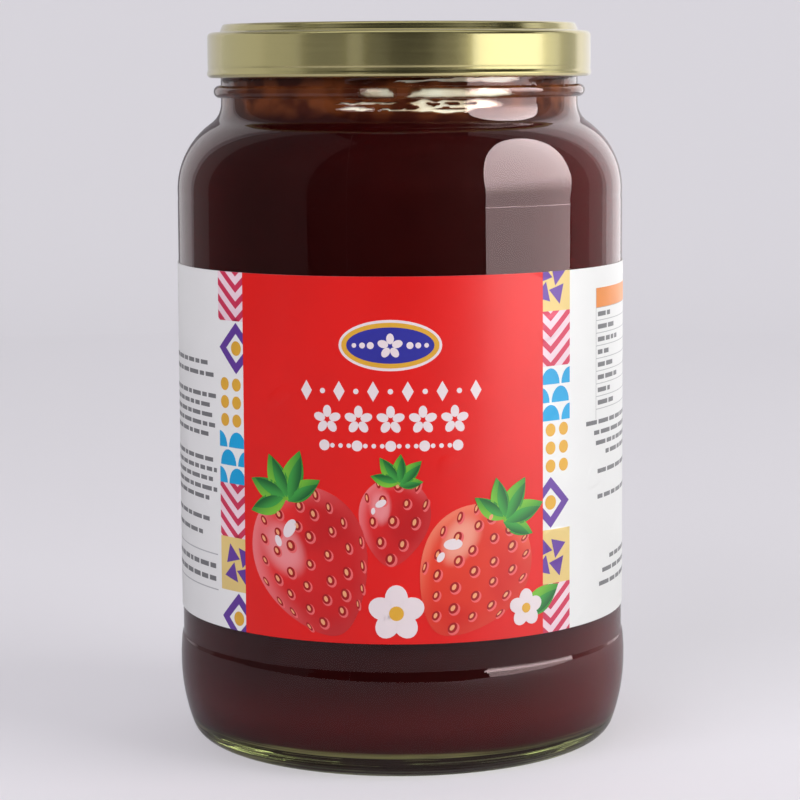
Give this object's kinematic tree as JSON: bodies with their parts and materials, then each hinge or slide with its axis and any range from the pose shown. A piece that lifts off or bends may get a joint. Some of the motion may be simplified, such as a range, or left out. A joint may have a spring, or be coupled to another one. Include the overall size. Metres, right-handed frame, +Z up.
{
  "type": "jam jar",
  "caption": "Large shut glass jam jar with a gold twist-off lid and a wrap-round paper label, full of dark red fruit jam.",
  "frame": {"origin": "centre of the ring that the jar stands on", "axes": "+Z up along the jar's axis, -Y towards the front of the label, +X to the right seen from the front"},
  "size_m": [0.1226, 0.1226, 0.1944],
  "materials": {
    "glass": "clear, faintly green, glossy",
    "jam": null,
    "lid_gold": "gold lacquer on tinplate, satin gloss",
    "label_paper": "white coated paper with a printed red front panel"
  },
  "bodies": {
    "root": {"glass_jar": "glass", "jam": "jam", "lid": "lid_gold", "label": "label_paper"}
  },
  "joints": []
}
